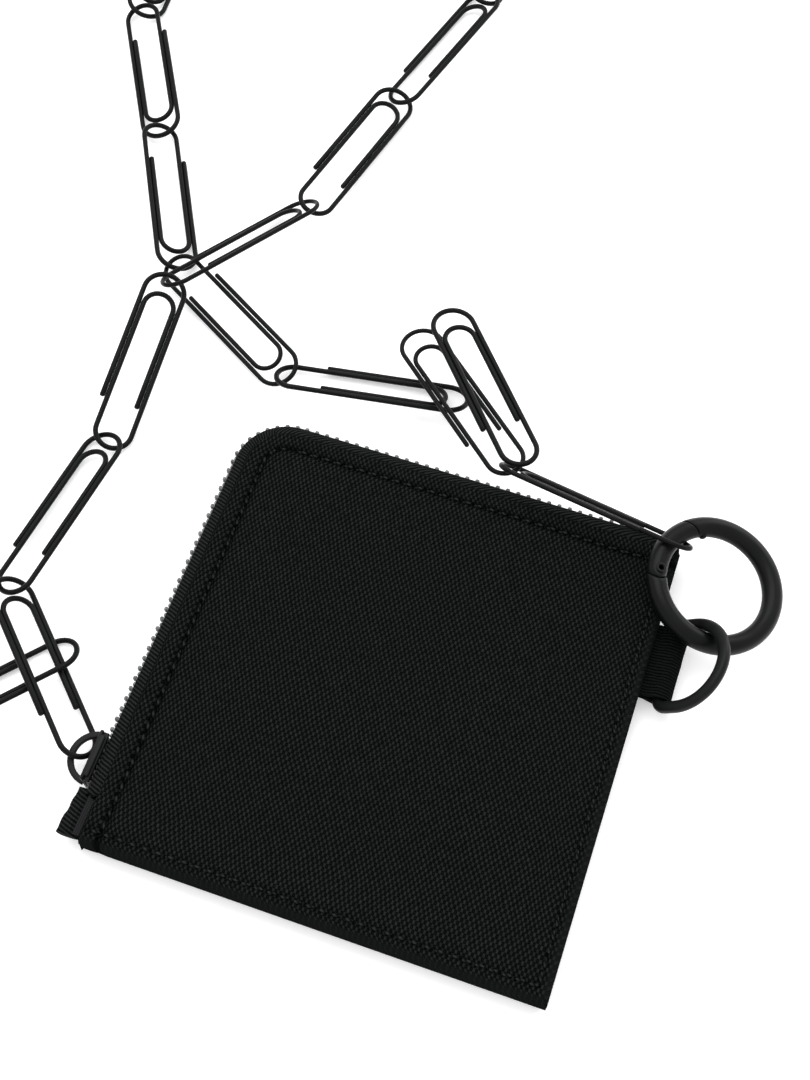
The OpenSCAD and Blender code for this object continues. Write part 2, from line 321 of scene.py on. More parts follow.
def follow_the_zip(shape, profile, y_start, x_end):
    """Draws a line of (inside, height) points along the left edge, the corner and the top edge."""
    points = [shape.verts.new((LEFT + inside, y_start, height)) for inside, height in profile]
    line = [shape.edges.new(pair) for pair in zip(points, points[1:])]

    def push(edges, vec, count):
        for _ in range(count):
            made = bmesh.ops.extrude_edge_only(shape, edges=edges)["geom"]
            edges = [g for g in made if isinstance(g, bmesh.types.BMEdge)]
            bmesh.ops.translate(
                shape, vec=vec, verts=[g for g in made if isinstance(g, bmesh.types.BMVert)]
            )
        return edges

    up = HALF - CORNER - y_start
    count = round(up / RUN_STEP)
    line = push(line, (0, up / count, 0), count)
    turned = bmesh.ops.spin(
        shape, geom=line, cent=(LEFT + CORNER, HALF - CORNER, 0), axis=(0, 0, 1),
        dvec=(0, 0, 0), angle=-math.pi / 2, steps=18, use_merge=False, use_normal_flip=False,
        use_duplicate=False,
    )
    line = [g for g in turned["geom_last"] if isinstance(g, bmesh.types.BMEdge)]
    across = x_end - LEFT - CORNER
    count = round(across / RUN_STEP)
    push(line, (across / count, 0, 0), count)


def lay_uv(shape):
    """The pattern's own map: along the zip and in from the teeth, both in centimetres."""
    uv = shape.loops.layers.uv.new("UVMap")
    for face in shape.faces:
        for loop in face.loops:
            run, inside = along_the_zip(loop.vert.co.x, loop.vert.co.y)
            loop[uv].uv = (run / 10, (inside + 0.6 * (loop.vert.co.z - MIDDLE)) / 10)


# Woven polyester tape: matt, a little greyer than the canvas. The slight sheen on the ribs is painted into their
# colour, with painted shade between them.
zip_tape, tree, shader = start_material("black woven zip tape", 0.82, Specular_IOR_Level=0.02)
surface = add(tree, "TexCoord").outputs["UV"]
fray = add(tree, "TexNoise", {"Vector": surface, "Scale": 9.0, "Detail": 3.0})
parts = add(tree, "SeparateXYZ", {"Vector": surface})
ribs = []
for spacing_cm, slant in ((0.09, 0.35), (0.155, 1.5)):
    leaning = add(
        tree, "Math", {0: parts.outputs["Y"], 1: slant, 2: parts.outputs["X"]}, operation="MULTIPLY_ADD"
    )
    phase = add(
        tree, "Math", {0: leaning.outputs[0], 1: 2 * math.pi / spacing_cm}, operation="MULTIPLY"
    )
    wobble = add(
        tree, "Math", {0: fray.outputs["Fac"], 1: 2.6, 2: phase.outputs[0]}, operation="MULTIPLY_ADD"
    )
    ribs.append(add(tree, "Math", {0: wobble.outputs[0]}, operation="SINE"))
on_top = add(tree, "Math", {0: parts.outputs["X"], 1: 11.4}, operation="GREATER_THAN")
rib = add(
    tree, "Mix", {0: on_top.outputs[0], 2: ribs[0].outputs[0], 3: ribs[1].outputs[0]},
    data_type="FLOAT",
)
yarn_phase = add(
    tree, "Math", {0: parts.outputs["Y"], 1: 2 * math.pi / 0.055},
    operation="MULTIPLY",
)
yarn = add(tree, "Math", {0: yarn_phase.outputs[0]}, operation="SINE")
rib_height = add(tree, "MapRange", {"Value": rib.outputs[0], "From Min": -1.0, "From Max": 1.0})
yarn_height = add(
    tree, "MapRange", {"Value": yarn.outputs[0], "From Min": -1.0, "From Max": 1.0, "To Min": 0.6}
)
weave = add(
    tree, "Math", {0: rib_height.outputs[0], 1: yarn_height.outputs[0]},
    operation="MULTIPLY",
)
# Painted sheen on the ribs and painted shade between them, as base colour.
tape_shade = add(
    tree, "Mix", {0: weave.outputs[0], 6: linear("#030303"), 7: linear("#2a2d2c")},
    data_type="RGBA",
)
tree.links.new(tape_shade.outputs[2], shader.inputs["Base Color"])
relief = add(tree, "Bump", {"Height": weave.outputs[0], "Distance": 0.0003, "Strength": 0.8})
tree.links.new(relief.outputs[0], shader.inputs["Normal"])

for side, node in (("front", "zip_tape_front"), ("back", "zip_tape_back")):
    shape = bmesh.new()
    follow_the_zip(shape, TAPE_PROFILE, -46.5, RIGHT - 2.6)
    for v in shape.verts:
        v.co.z += 0.05 * noise.noise(v.co * 0.6)
        if side == "back":
            v.co.z = THICK - v.co.z
    bmesh.ops.recalc_face_normals(shape, faces=shape.faces)
    outer = max(shape.faces, key=lambda f: abs(f.calc_center_median().z - MIDDLE))
    if outer.normal.z * (outer.calc_center_median().z - MIDDLE) < 0:
        bmesh.ops.reverse_faces(shape, faces=shape.faces)
    lay_uv(shape)
    tape = new_piece("tape_" + side, shape, zip_tape, "pouch", "zip_tape", node)
    wall = tape.modifiers.new("thickness", "SOLIDIFY")
    wall.thickness = 0.00035
    wall.offset = -1

# ---- the zip's teeth and stops ----
# Teeth of moulded black resin, clamped on the rolled edge of each tape and meshed with the row
# opposite. They are painted light grey all over, a painted highlight for the light on the black resin. The back
# row is set in a little, so that the front row's tips read one by one. A stop closes the row at each end.
PITCH, TOOTH_DEEP, TOOTH_LONG, BACK_ROW_IN, TEETH = 2.6, 2.4, 1.0, 0.4, 77


def place_on_zip(run):
    """A frame at a distance along the zip: x points out of the pouch, y along the zip."""
    cx, cy = LEFT + CORNER, HALF - CORNER
    arc = math.pi / 2 * CORNER
    if run < 100:
        spot, heading = Vector((LEFT, cy + run - 100, MIDDLE)), math.pi
    elif run < 100 + arc:
        angle = math.pi - (run - 100) / CORNER
        spot = Vector((cx + CORNER * math.cos(angle), cy + CORNER * math.sin(angle), MIDDLE))
        heading = angle
    else:
        spot, heading = Vector((cx + run - 100 - arc, HALF, MIDDLE)), math.pi / 2
    return Matrix.Translation(spot) @ Matrix.Rotation(heading, 4, "Z")


resin, tree, shader = start_material("moulded black resin", 0.45, Specular_IOR_Level=0.4)
place = add(tree, "TexCoord").outputs["Object"]
glint_and_bump_noise = add(tree, "TexNoise", {"Vector": place, "Scale": 1400.0, "Detail": 3.0})
painted_highlight = add(tree, "MapRange", {"Value": glint_and_bump_noise.outputs["Fac"], "From Min": 0.35, "From Max": 0.7})
# Painted highlight: the teeth are coloured light grey in random patches, standing for the light on the black
# resin.
tone = add(
    tree, "Mix", {0: painted_highlight.outputs[0], 6: linear("#505251"), 7: linear("#8f9190")},
    data_type="RGBA",
)
tree.links.new(tone.outputs[2], shader.inputs["Base Color"])
relief = add(tree, "Bump", {"Height": glint_and_bump_noise.outputs["Fac"], "Distance": 0.00005, "Strength": 0.4})
tree.links.new(relief.outputs[0], shader.inputs["Normal"])

first_run = 100 - (HALF - CORNER) - 46 + 1.2
for side, node, up in (("front", "zip_teeth_front", 1), ("back", "zip_teeth_back", -1)):
    shape = bmesh.new()
    start = first_run + (PITCH / 2 if up > 0 else 0)
    for i in range(TEETH):
        spot = place_on_zip(start + i * PITCH)
        for deep, long, tall, out, lift in (
            (TOOTH_DEEP, TOOTH_LONG * 0.8, 1.5, -TOOTH_DEEP / 2, 0.25),
            (0.9, TOOTH_LONG, 1.6, -0.45, 0.28),
        ):
            size = Matrix.Diagonal((deep, long, tall, 1))
            where = Matrix.Translation((out - (0 if up > 0 else BACK_ROW_IN), 0, up * lift))
            bmesh.ops.create_cube(shape, size=1, matrix=spot @ where @ size)
    bmesh.ops.bevel(
        shape, geom=shape.edges[:], offset=0.22, segments=1, profile=0.5, affect="EDGES", material=-1
    )
    new_piece("teeth_" + side, shape, resin, "pouch", "zip_plastic", node)

for name, low, high in (
    ("stop_bottom", (LEFT, -HALF + 8.2, MIDDLE - 1.1), (LEFT + 2.4, -HALF + 10, MIDDLE + 1.1)),
    ("stop_top", (RIGHT - 5.4, HALF - 2.4, MIDDLE - 1.1), (RIGHT - 3, HALF, MIDDLE + 1.1)),
):
    low, high = Vector(low), Vector(high)
    shape = bmesh.new()
    size = Matrix.Diagonal((*(high - low), 1))
    bmesh.ops.create_cube(shape, size=1, matrix=Matrix.Translation((low + high) / 2) @ size)
    bmesh.ops.bevel(
        shape, geom=shape.edges[:], offset=0.35, segments=3, profile=0.5, affect="EDGES", material=-1
    )
    new_piece(name, shape, resin, "pouch", "zip_plastic", "zip_" + name)

# ---- the zip's tail ----
# The ends of both tapes, folded together and caught in the bottom seam, so that a short roll of tape
# stands out of the corner below the slider.
# noise_vector starts from the clock unless it is seeded, so this keeps the same shape on every run.
NOISE_SEED = 1
noise.seed_set(NOISE_SEED)
shape = bmesh.new()
ring = bmesh.ops.create_circle(shape, segments=20, radius=1.0, cap_ends=False)["verts"]
for v in ring:
    angle = math.atan2(v.co.y, v.co.x)
    bulge = 1 + 0.12 * math.cos(3 * angle)
    v.co = (2.7 * bulge * math.cos(angle), 0, 1.9 * bulge * math.sin(angle))
bmesh.ops.translate(shape, vec=(-53.0, -45.2, 4.6), verts=ring)
edges = shape.edges[:]
bmesh.ops.edgeloop_fill(shape, edges=edges)
for i in range(11):
    made = bmesh.ops.extrude_edge_only(shape, edges=edges)["geom"]
    edges = [g for g in made if isinstance(g, bmesh.types.BMEdge)]
    verts = [g for g in made if isinstance(g, bmesh.types.BMVert)]
    bmesh.ops.translate(shape, vec=(-0.08, -0.98, 0), verts=verts)
    middle = sum((v.co for v in verts), Vector()) / len(verts)
    grow = 1 + 0.05 * math.sin(i * 1.3)
    bmesh.ops.scale(
        shape, vec=(grow, 1, 1.015), space=Matrix.Translation(-middle), verts=verts
    )
bmesh.ops.edgeloop_fill(shape, edges=edges)
for v in shape.verts:
    v.co += 0.18 * noise.noise_vector(v.co * 0.45)
bmesh.ops.recalc_face_normals(shape, faces=shape.faces)
lay_uv(shape)
new_piece("tape_tail", shape, zip_tape, "pouch", "zip_tape", "zip_tail")

# ---- the stitching ----
# Black polyester thread in a lockstitch of 3 mm, pulled tight into the cloth, along the zip and along
# both seams. Each stitch is a short fat strand, a little shinier than the canvas.
STITCH, STITCH_LONG = 3.0, 2.3
thread, tree, shader = start_material("black polyester thread", 0.6, Specular_IOR_Level=0.04)
place = add(tree, "TexCoord").outputs["Object"]
twist = add(
    tree, "TexWave", {"Vector": place, "Scale": 420.0, "Distortion": 2.0}, bands_direction="DIAGONAL"
)
tone = add(
    tree, "Mix", {0: twist.outputs["Fac"], 6: linear("#030303"), 7: linear("#262828")},
    data_type="RGBA",
)
tree.links.new(tone.outputs[2], shader.inputs["Base Color"])
relief = add(tree, "Bump", {"Height": twist.outputs["Fac"], "Distance": 0.0001, "Strength": 0.6})
tree.links.new(relief.outputs[0], shader.inputs["Normal"])


def sew(shape, x, y, angle):
    height = canvas_height(x, y, True)
    lean = math.radians(7)
    size = Matrix.Diagonal((STITCH_LONG / 2, 0.34, 0.26, 1))
    spot = Matrix.Translation((x, y, height + 0.1)) @ Matrix.Rotation(angle + lean, 4, "Z")
    bmesh.ops.create_uvsphere(shape, u_segments=8, v_segments=6, radius=1, matrix=spot @ size)


shape = bmesh.new()
run = 100 - (HALF - CORNER) - HALF + 5
while run < 100 + math.pi / 2 * CORNER + RIGHT - LEFT - CORNER - 3.5:
    spot = place_on_zip(run)
    on_corner = 100 < run < 100 + math.pi / 2 * CORNER
    point = spot @ Vector((-STITCHED_IN, 0, 0))
    turn = math.atan2(spot[1][1], spot[0][1])
    sew(shape, point.x, point.y, turn)
    run += STITCH * (CORNER / (CORNER - STITCHED_IN) if on_corner else 1)
new_piece("stitches_zip", shape, thread, "pouch", "thread", "stitching_zip")
shape = bmesh.new()
for i in range(35):
    if -52 + i * STITCH < 47:
        sew(shape, RIGHT - SEAM_IN, -52 + i * STITCH, math.pi / 2)
    sew(shape, -47 + i * STITCH * 0.97, -HALF + SEAM_IN, 0)
new_piece("stitches_seams", shape, thread, "pouch", "thread", "stitching_seams")

# ---- the slider ----
# Die-cast zinc, plated satin black: two plates held over the teeth, and a flat arch on the outer one
# that the chain's first clip hooks through.
plating, tree, shader = start_material("satin black plating", 0.42, Specular_IOR_Level=0.14)
place = add(tree, "TexCoord").outputs["Object"]
cloud = add(tree, "TexNoise", {"Vector": place, "Scale": 260.0, "Detail": 4.0})
grain = add(tree, "TexNoise", {"Vector": place, "Scale": 3200.0, "Detail": 2.0})
tone = add(
    tree, "Mix", {0: cloud.outputs["Fac"], 6: linear("#090a0a"), 7: linear("#161817")},
    data_type="RGBA",
)
# Painted shade: the floor of the rivet's hole is coloured black and loses its shine.
painted_hole_shade = add(tree, "Attribute", attribute_name="painted_hole_shade")
tone = add(
    tree, "Mix", {0: painted_hole_shade.outputs["Fac"], 6: tone.outputs[2], 7: linear("#000000")},
    data_type="RGBA",
)
shine = add(tree, "Math", {0: painted_hole_shade.outputs["Fac"], 1: -0.14, 2: 0.14}, operation="MULTIPLY_ADD")
tree.links.new(shine.outputs[0], shader.inputs["Specular IOR Level"])
tree.links.new(tone.outputs[2], shader.inputs["Base Color"])
rough = add(
    tree, "MapRange",
    {"Value": cloud.outputs["Fac"], "From Min": 0.3, "From Max": 0.7, "To Min": 0.34, "To Max": 0.52},
)
tree.links.new(rough.outputs[0], shader.inputs["Roughness"])
relief = add(tree, "Bump", {"Height": grain.outputs["Fac"], "Distance": 0.00003, "Strength": 0.35})
tree.links.new(relief.outputs[0], shader.inputs["Normal"])

SLIDER_Y = -38.0


def add_block(shape, low, high, radius, segments=3):
    low, high = Vector(low), Vector(high)
    size = Matrix.Diagonal((*(high - low), 1))
    verts = bmesh.ops.create_cube(shape, size=1, matrix=Matrix.Translation((low + high) / 2) @ size)["verts"]
    edges = list({e for v in verts for e in v.link_edges})
    bmesh.ops.bevel(
        shape, geom=edges, offset=radius, segments=segments, profile=0.5, affect="EDGES", material=-1
    )


shape = bmesh.new()
plate = LEFT - 1.1
add_block(shape, (plate, SLIDER_Y - 6, MIDDLE - 3.6), (plate + 0.8, SLIDER_Y + 6, MIDDLE + 3.6), 0.35)
for side in (-1, 1):
    add_block(
        shape, (plate + 0.5, SLIDER_Y - 5.9, MIDDLE + side * 2.1 - 0.5),
        (plate + 2.0, SLIDER_Y + 5.9, MIDDLE + side * 2.1 + 0.5), 0.3,
    )
    add_block(
        shape, (plate + 0.2, SLIDER_Y - 5.0, MIDDLE + side * 3.25 - 0.3),
        (plate + 1.6, SLIDER_Y + 5.0, MIDDLE + side * 3.25 + 0.3), 0.25,
    )
new_piece("slider_plate", shape, plating, "slider", "black_hardware", "slider_body")
shape = bmesh.new()
add_block(
    shape, (LEFT + 2.7, SLIDER_Y - 6, MIDDLE - 2), (LEFT + 3.7, SLIDER_Y + 6, MIDDLE + 2), 0.3
)
new_piece("slider_inside", shape, plating, "slider", "black_hardware", "slider_inner_plate")

shape = bmesh.new()
verts = bmesh.ops.create_circle(shape, segments=16, radius=1, cap_ends=False)["verts"]
for v in verts:
    angle = math.atan2(v.co.y, v.co.x)
    v.co = (5.7 + 0.75 * blunt(math.cos(angle), 0.45), 0, 0.62 * blunt(math.sin(angle), 0.45))
bmesh.ops.rotate(
    shape, verts=shape.verts, cent=(0, 0, 0), matrix=Matrix.Rotation(math.radians(96), 3, "Z")
)
bmesh.ops.spin(
    shape, geom=shape.edges[:], cent=(0, 0, 0), axis=(0, 0, 1), dvec=(0, 0, 0),
    angle=math.radians(168), steps=28, use_merge=False, use_normal_flip=False, use_duplicate=False,
)
bmesh.ops.holes_fill(shape, edges=[e for e in shape.edges if e.is_boundary], sides=40)
bmesh.ops.translate(shape, vec=(LEFT - 0.3, SLIDER_Y, MIDDLE), verts=shape.verts)
bmesh.ops.recalc_face_normals(shape, faces=shape.faces)
new_piece("slider_arch", shape, plating, "slider", "black_hardware", "slider_crown")

# ---- the webbing tab ----
# A short length of 18 mm black cotton webbing, folded round the D-ring's bar and sewn into the right
# seam. It is dense and dull, with fine cross ribs and a firm selvedge.
BAR_X = 60.5
webbing, tree, shader = start_material("black cotton webbing", 0.9, Specular_IOR_Level=0.015)
place = add(tree, "TexCoord").outputs["Object"]
cross = add(
    tree, "TexWave", {"Vector": place, "Scale": 430.0, "Distortion": 3.0, "Detail": 2.0},
    bands_direction="Y",
)
speck = add(tree, "TexNoise", {"Vector": place, "Scale": 1900.0, "Detail": 3.0, "Roughness": 0.7})
rib = add(tree, "Math", {0: cross.outputs["Fac"], 1: speck.outputs["Fac"]}, operation="MULTIPLY")
tone = add(
    tree, "Mix", {0: rib.outputs[0], 6: linear("#020303"), 7: linear("#202222")},
    data_type="RGBA",
)
tree.links.new(tone.outputs[2], shader.inputs["Base Color"])
relief = add(tree, "Bump", {"Height": rib.outputs[0], "Distance": 0.0002, "Strength": 0.7})
tree.links.new(relief.outputs[0], shader.inputs["Normal"])

shape = bmesh.new()
strip = [(46.0, 1.35), (52.0, 1.4), (57.0, 1.5)]
for degrees in range(120, -121, -15):
    angle = math.radians(degrees)
    strip.append((BAR_X + 2.95 * math.cos(angle), 2.95 * math.sin(angle)))
strip += [(57.0, -1.5), (52.0, -1.4), (46.0, -1.35)]
points = [shape.verts.new((x, TAB_Y - TAB_HALF, MIDDLE + z)) for x, z in strip]
edges = [shape.edges.new(pair) for pair in zip(points, points[1:])]
for _ in range(24):
    made = bmesh.ops.extrude_edge_only(shape, edges=edges)["geom"]
    edges = [g for g in made if isinstance(g, bmesh.types.BMEdge)]
    bmesh.ops.translate(
        shape, vec=(0, 2 * TAB_HALF / 24, 0), verts=[g for g in made if isinstance(g, bmesh.types.BMVert)]
    )
for v in shape.verts:
    v.co += 0.1 * noise.noise_vector(v.co * 0.3)
bmesh.ops.recalc_face_normals(shape, faces=shape.faces)
outer = max(shape.faces, key=lambda f: f.calc_center_median().x)
if outer.normal.x < 0:
    bmesh.ops.reverse_faces(shape, faces=shape.faces)
tab = new_piece("tab_webbing", shape, webbing, "pouch", "webbing", "webbing_tab")
wall = tab.modifiers.new("thickness", "SOLIDIFY")
wall.thickness = 0.00125
wall.offset = -1
edge_round = tab.modifiers.new("edges", "BEVEL")
edge_round.width = 0.0003
edge_round.segments = 2
edge_round.limit_method = "ANGLE"
edge_round.angle_limit = math.radians(50)

# ---- the D-ring ----
# Cast zinc, satin black, with a flattened section that shows a soft ridge along its middle. Its
# straight bar turns in the fold of the webbing.
D_HALF, D_LEG, D_CORNER, D_TILT = 10.6, 5.2, 2.5, 47.0


def sweep(shape, path, section, closed=False):
    """Draws a cross-section along a path of points that lies in the xy plane."""
    rings = []
    count = len(path)
    for i, point in enumerate(path):
        before = path[i - 1] if i or closed else path[i]
        after = path[(i + 1) % count] if i < count - 1 or closed else path[i]
        ahead = (Vector(after) - Vector(before)).normalized()
        side = Vector((ahead.y, -ahead.x, 0))
        rings.append([shape.verts.new(Vector(point) + side * a + Vector((0, 0, b))) for a, b in section])
    spans = zip(rings, rings[1:] + rings[:1]) if closed else zip(rings, rings[1:])
    for one, two in spans:
        for k in range(len(section)):
            near = (k + 1) % len(section)
            shape.faces.new((one[k], one[near], two[near], two[k]))


path = [(0, y, 0) for y in (-6, -3, 0, 3, 6)]
for centre, radius, first, last, steps in (
    ((D_CORNER, D_HALF - D_CORNER), D_CORNER, 180, 90, 8),
    ((D_LEG, 0), D_HALF, 90, -90, 48),
    ((D_CORNER, -D_HALF + D_CORNER), D_CORNER, -90, -180, 8),
):
    for i in range(steps + 1):
        angle = math.radians(first + (last - first) * i / steps)
        path.append((centre[0] + radius * math.cos(angle), centre[1] + radius * math.sin(angle), 0))
section = []
for i in range(20):
    angle = 2 * math.pi * i / 20
    section.append((1.4 * blunt(math.cos(angle), 0.75), 1.22 * blunt(math.sin(angle), 0.9)))
shape = bmesh.new()
sweep(shape, path, section, closed=True)
bmesh.ops.transform(
    shape, verts=shape.verts,
    matrix=Matrix.Translation((BAR_X, TAB_Y, MIDDLE)) @ Matrix.Rotation(math.radians(-D_TILT), 4, "Y"),
)
bmesh.ops.recalc_face_normals(shape, faces=shape.faces)
new_piece("d_ring_cast", shape, plating, "d_ring", "black_hardware", "d_ring")

# ---- the clasp ----
# A round spring-gate ring of cast zinc, painted satin black. The gate turns on a hollow rivet, its
# end set in a hollow in the ring, and meets the ring at a mouth curved about the hinge, by a small lip.
RING_AT, RING_R, BAR_R, RING_TILT = (65.5, 46.0, 10.0), 14.5, 2.4, 15.0
MOUTH, HINGE, MOUTH_GAP, SOCKET, BAR_SIDES = 131.5, 190.5, 0.35, 2.62, 28
GATE_REACH = 2 * RING_R * math.sin(math.radians(HINGE - MOUTH) / 2)
in_ring = Matrix.Translation(RING_AT) @ Matrix.Rotation(math.radians(RING_TILT), 4, "Y")

satin, tree, shader = start_material("satin black paint on zinc", 0.4, Specular_IOR_Level=0.14)
place = add(tree, "TexCoord").outputs["Object"]
cloud = add(tree, "TexNoise", {"Vector": place, "Scale": 150.0, "Detail": 5.0})
peel = add(tree, "TexNoise", {"Vector": place, "Scale": 1500.0, "Detail": 2.0})
tone = add(
    tree, "Mix", {0: cloud.outputs["Fac"], 6: linear("#040505"), 7: linear("#0d0f0e")},
    data_type="RGBA",
)
tree.links.new(tone.outputs[2], shader.inputs["Base Color"])
rough = add(
    tree, "MapRange",
    {"Value": cloud.outputs["Fac"], "From Min": 0.3, "From Max": 0.7, "To Min": 0.3, "To Max": 0.42},
)
tree.links.new(rough.outputs[0], shader.inputs["Roughness"])
relief = add(tree, "Bump", {"Height": peel.outputs["Fac"], "Distance": 0.00004, "Strength": 0.3})
tree.links.new(relief.outputs[0], shader.inputs["Normal"])


def mouth_at(radius, reach):
    """The angle at which a circle about the ring's centre lies one reach away from the hinge."""
    return HINGE - math.degrees(math.acos((radius**2 + RING_R**2 - reach**2) / (2 * radius * RING_R)))


def ring_bar(shape, first, last, steps, reach, width=None):
    """A round bar along the ring, its end at the mouth cut to a curve centred on the hinge; width
    shrinks it sideways at an angle."""
    path = []
    for i in range(steps + 1):
        angle = math.radians(first + (last - first) * i / steps)
        path.append((RING_R * math.cos(angle), RING_R * math.sin(angle), 0))
    section = [
        (BAR_R * math.cos(2 * math.pi * k / BAR_SIDES), BAR_R * math.sin(2 * math.pi * k / BAR_SIDES))
        for k in range(BAR_SIDES)
    ]
    first_vert = len(shape.verts)
    sweep(shape, path, section)
    shape.verts.ensure_lookup_table()
    rings = [shape.verts[first_vert + i * BAR_SIDES : first_vert + (i + 1) * BAR_SIDES] for i in range(steps + 1)]
    for i, ring in enumerate(rings):
        near_mouth = (1 - i / steps if first == MOUTH else i / steps) ** 3
        near_hinge = 0 if first == MOUTH else (1 - i / steps) ** 8
        for v in ring:
            slant = mouth_at(v.co.xy.length, reach) - MOUTH
            hollow = 2 * HINGE - mouth_at(v.co.xy.length, SOCKET) - first
            turn = slant * near_mouth + hollow * near_hinge
            v.co.rotate(Matrix.Rotation(math.radians(turn), 3, "Z"))
    if width:
        for ring, angle in zip(rings, (first + (last - first) * i / steps for i in range(steps + 1))):
            share = width(angle)
            centre = sum((v.co for v in ring), Vector()) / BAR_SIDES
            for v in ring:
                flat = Vector((v.co.x - centre.x, v.co.y - centre.y, 0))
                v.co = centre + flat * share + Vector((0, 0, v.co.z))
    for ring in (rings[0], rings[-1]):
        shape.faces.new(ring)
    return rings


def round_end(angle):
    past = math.radians(angle - HINGE) * RING_R
    return math.sqrt(max(1 - (past / 2.3) ** 2, 0.02)) if past > 0 else 1.0


shape = bmesh.new()
ring_bar(shape, HINGE + 10.2, MOUTH + 360, 84, GATE_REACH + MOUTH_GAP)
add_block(shape, (-RING_R - 0.9, -4.2, -1.0), (-RING_R + 0.9, -1.6, 1.0), 0.3)
lip_angle = math.radians(MOUTH - 12)
lip = Vector((RING_R - BAR_R + 0.15, 0, 0))
lip.rotate(Matrix.Rotation(lip_angle, 3, "Z"))
bmesh.ops.create_uvsphere(
    shape, u_segments=16, v_segments=10, radius=1,
    matrix=Matrix.Translation(lip) @ Matrix.Rotation(lip_angle, 4, "Z") @ Matrix.Diagonal((0.7, 0.9, 1.1, 1)),
)
bmesh.ops.transform(shape, verts=shape.verts, matrix=in_ring)
bmesh.ops.recalc_face_normals(shape, faces=shape.faces)
ring_piece = new_piece("clasp_bar", shape, satin, "clasp", "black_hardware", "clasp_ring")

shape = bmesh.new()
ring_bar(shape, MOUTH, HINGE + 8.9, 44, GATE_REACH, width=round_end)
bmesh.ops.transform(shape, verts=shape.verts, matrix=in_ring)
bmesh.ops.recalc_face_normals(shape, faces=shape.faces)
gate_piece = new_piece("clasp_gate_bar", shape, satin, "gate", "black_hardware", "clasp_gate")
for piece in (ring_piece, gate_piece):
    soft_edge = piece.modifiers.new("edges", "BEVEL")
    soft_edge.width = 0.00022
    soft_edge.segments = 2
    soft_edge.limit_method = "ANGLE"
    soft_edge.angle_limit = math.radians(50)

HOLE_R = 0.62
shape = bmesh.new()
outline = [
    (HOLE_R, -2.75), (1.1, -2.75), (1.25, -2.6), (1.05, -2.45), (1.05, 2.45),
    (1.25, 2.62), (1.1, 2.78), (0.7, 2.78), (HOLE_R, 2.6),
]
points = [shape.verts.new((r, 0, z)) for r, z in outline]
edges = [shape.edges.new((points[i], points[(i + 1) % len(points)])) for i in range(len(points))]
bmesh.ops.spin(
    shape, geom=edges, cent=(0, 0, 0), axis=(0, 0, 1), dvec=(0, 0, 0), angle=2 * math.pi, steps=28,
    use_merge=True, use_normal_flip=False, use_duplicate=False,
)
# A black disc closes the hole a little below the rivet's top: painted shade in the hole.
hole_shade_layer = shape.verts.layers.float.new("painted_hole_shade")
hole_shade_disc = bmesh.ops.create_circle(
    shape, cap_ends=True, segments=28, radius=HOLE_R, matrix=Matrix.Translation((0, 0, 2.5))
)["verts"]
for v in hole_shade_disc:
    v[hole_shade_layer] = 1
hinge_at = Matrix.Rotation(math.radians(HINGE), 4, "Z") @ Matrix.Translation((RING_R, 0, 0))
bmesh.ops.transform(shape, verts=shape.verts, matrix=in_ring @ hinge_at)
bmesh.ops.recalc_face_normals(shape, faces=shape.faces)
upside_down = [f for f in shape.faces if all(v[hole_shade_layer] for v in f.verts) and f.normal.z < 0]
bmesh.ops.reverse_faces(shape, faces=upside_down)
new_piece("rivet_hollow", shape, plating, "clasp", "black_hardware", "gate_rivet")

# Spring steel wire, drawn and left bright, hidden in the hinge.
spring_wire, tree, shader = start_material("bright spring steel", 0.3, Metallic=1.0)
place = add(tree, "TexCoord").outputs["Object"]
drawn = add(tree, "TexNoise", {"Vector": place, "Scale": 2500.0, "Detail": 2.0})
tone = add(
    tree, "Mix", {0: drawn.outputs["Fac"], 6: linear("#8a8b8d"), 7: linear("#b4b5b6")},
    data_type="RGBA",
)
tree.links.new(tone.outputs[2], shader.inputs["Base Color"])
finish_nodes(spring_wire, "gate_spring")

# ---- the chain ----
# Ordinary steel wire clips, 50 mm long, lacquered black and hooked through one another.
# The lacquer is smooth and satin, its tone and gloss a little uneven.
lacquer, tree, shader = start_material("black lacquer on steel wire", 0.32, Specular_IOR_Level=0.1)
place = add(tree, "TexCoord").outputs["Object"]
streak = add(tree, "TexNoise", {"Vector": place, "Scale": 220.0, "Detail": 4.0})
speck = add(tree, "TexNoise", {"Vector": place, "Scale": 2400.0, "Detail": 2.0})
tone = add(
    tree, "Mix", {0: streak.outputs["Fac"], 6: linear("#040504"), 7: linear("#0e100f")},
    data_type="RGBA",
)
tree.links.new(tone.outputs[2], shader.inputs["Base Color"])
rough = add(
    tree, "MapRange",
    {"Value": streak.outputs["Fac"], "From Min": 0.3, "From Max": 0.7, "To Min": 0.28, "To Max": 0.46},
)
tree.links.new(rough.outputs[0], shader.inputs["Roughness"])
relief = add(tree, "Bump", {"Height": speck.outputs["Fac"], "Distance": 0.00003, "Strength": 0.3})
tree.links.new(relief.outputs[0], shader.inputs["Normal"])
WIRE_R, CLIP_LONG, WIDE_R, WIRE_STEP, FREE_END, INNER_SET = 0.67, 48.8, 5.2, 1.35, 12.0, 5.6
